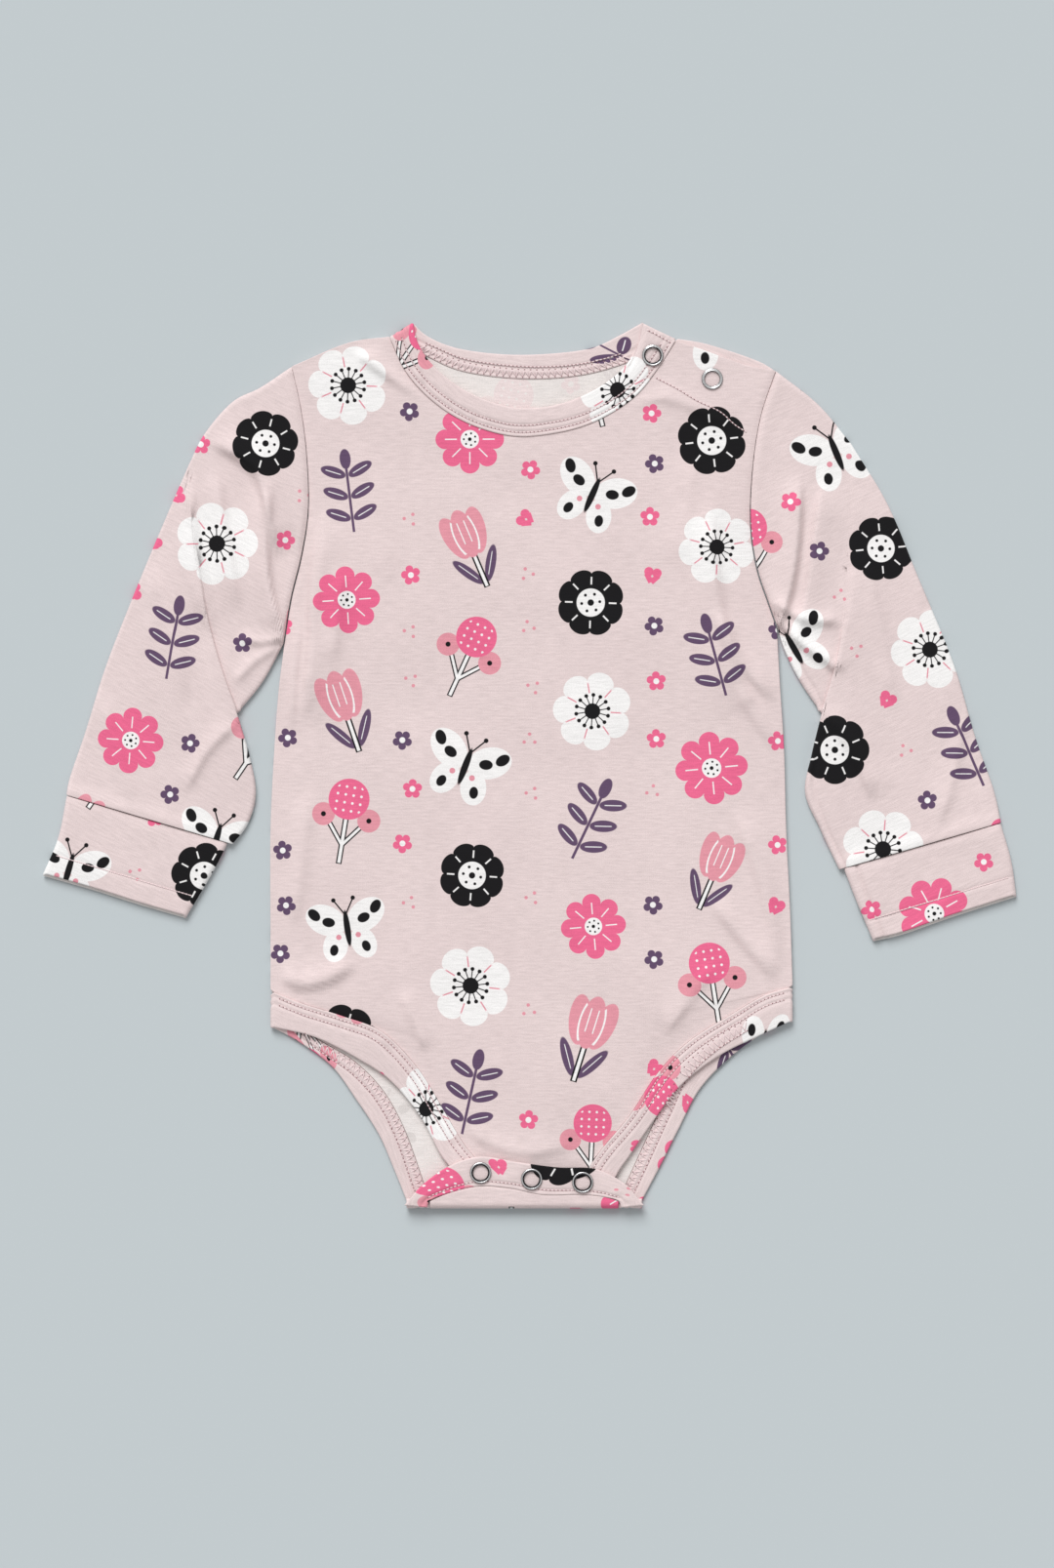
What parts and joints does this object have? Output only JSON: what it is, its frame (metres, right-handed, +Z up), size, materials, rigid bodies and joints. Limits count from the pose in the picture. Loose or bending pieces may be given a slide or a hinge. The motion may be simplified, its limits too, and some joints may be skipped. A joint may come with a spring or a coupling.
{
  "type": "baby long-sleeved bodysuit",
  "caption": "Long-sleeved baby bodysuit laid flat, with bound neck and leg openings, cuffs, and ring snaps at one shoulder and the crotch.",
  "frame": {"origin": "on the surface it lies on, under the middle of its outline", "axes": "+Z up from the surface, +Y towards the neck, +X towards the sleeve at the viewer's right, seen from above"},
  "size_m": [0.4587, 0.4171, 0.0074],
  "materials": {
    "print_jersey": "pale pink cotton jersey with a printed all-over flower design, matt",
    "print_binding": "the same printed jersey, doubled and stitched, matt",
    "snap_metal": "dark nickel ring, satin"
  },
  "bodies": {
    "root": {"back_panel": "print_jersey", "front_panel": "print_jersey", "sleeve_left": "print_jersey", "sleeve_right": "print_jersey", "cuff_left": "print_jersey", "cuff_right": "print_jersey", "neckband": "print_binding", "shoulder_placket": "print_binding", "leg_binding_left": "print_binding", "leg_binding_right": "print_binding", "crotch_binding": "print_binding", "shoulder_snap_1": "snap_metal", "shoulder_snap_2": "snap_metal", "crotch_snap_1": "snap_metal", "crotch_snap_2": "snap_metal", "crotch_snap_3": "snap_metal"}
  },
  "joints": []
}
